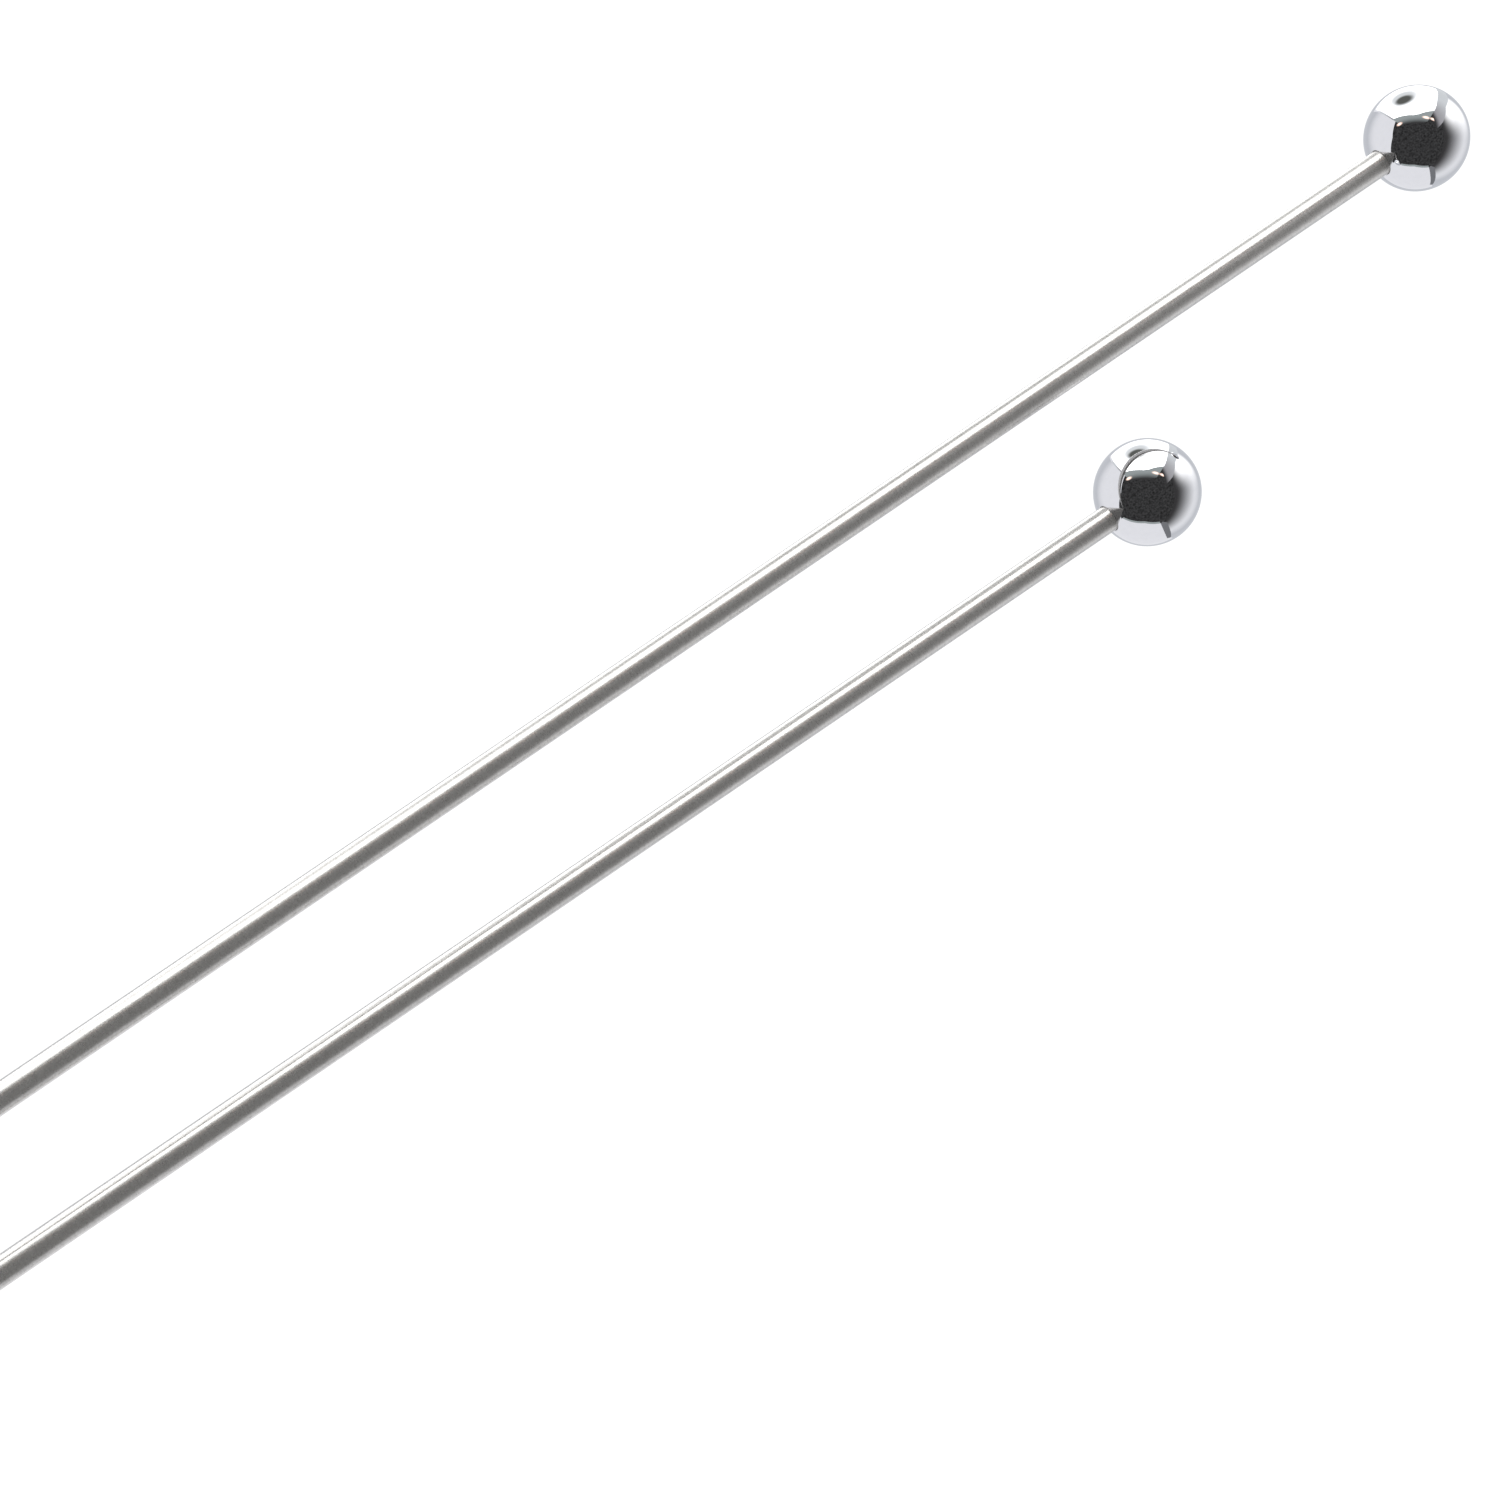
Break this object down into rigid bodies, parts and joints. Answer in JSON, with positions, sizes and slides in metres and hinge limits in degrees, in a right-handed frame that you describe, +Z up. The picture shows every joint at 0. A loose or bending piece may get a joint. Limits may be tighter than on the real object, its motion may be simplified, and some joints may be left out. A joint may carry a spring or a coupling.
{
  "type": "straight knitting needles",
  "caption": "Slim straight knitting needles, each a satin steel shaft with a long tapered point at one end and a mirror-polished ball knob at the other.",
  "frame": {"origin": "on the table, under the middle of the pair's box", "axes": "+X along the needles towards the balls, +Z up from the table, +Y across from needle b to needle a"},
  "size_m": [0.3964, 0.0266, 0.0111],
  "materials": {
    "satin_steel": "satin, ground round",
    "polished_steel": "mirror polish",
    "plug_steel": "as turned"
  },
  "bodies": {
    "needle_a": {"shaft_tube_a": "satin_steel", "point_a": "satin_steel", "end_plug_a": "plug_steel", "ball_knob_a": "polished_steel"},
    "needle_b": {"shaft_tube_b": "satin_steel", "point_b": "satin_steel", "end_plug_b": "plug_steel", "ball_knob_b": "polished_steel"}
  },
  "joints": [
    {"name": "needle_b_slide", "type": "slide", "parent": "needle_a", "child": "needle_b", "axis": [-0.9999, 0.0131, 0], "range_m": [-0.08, 0.12]}
  ]
}
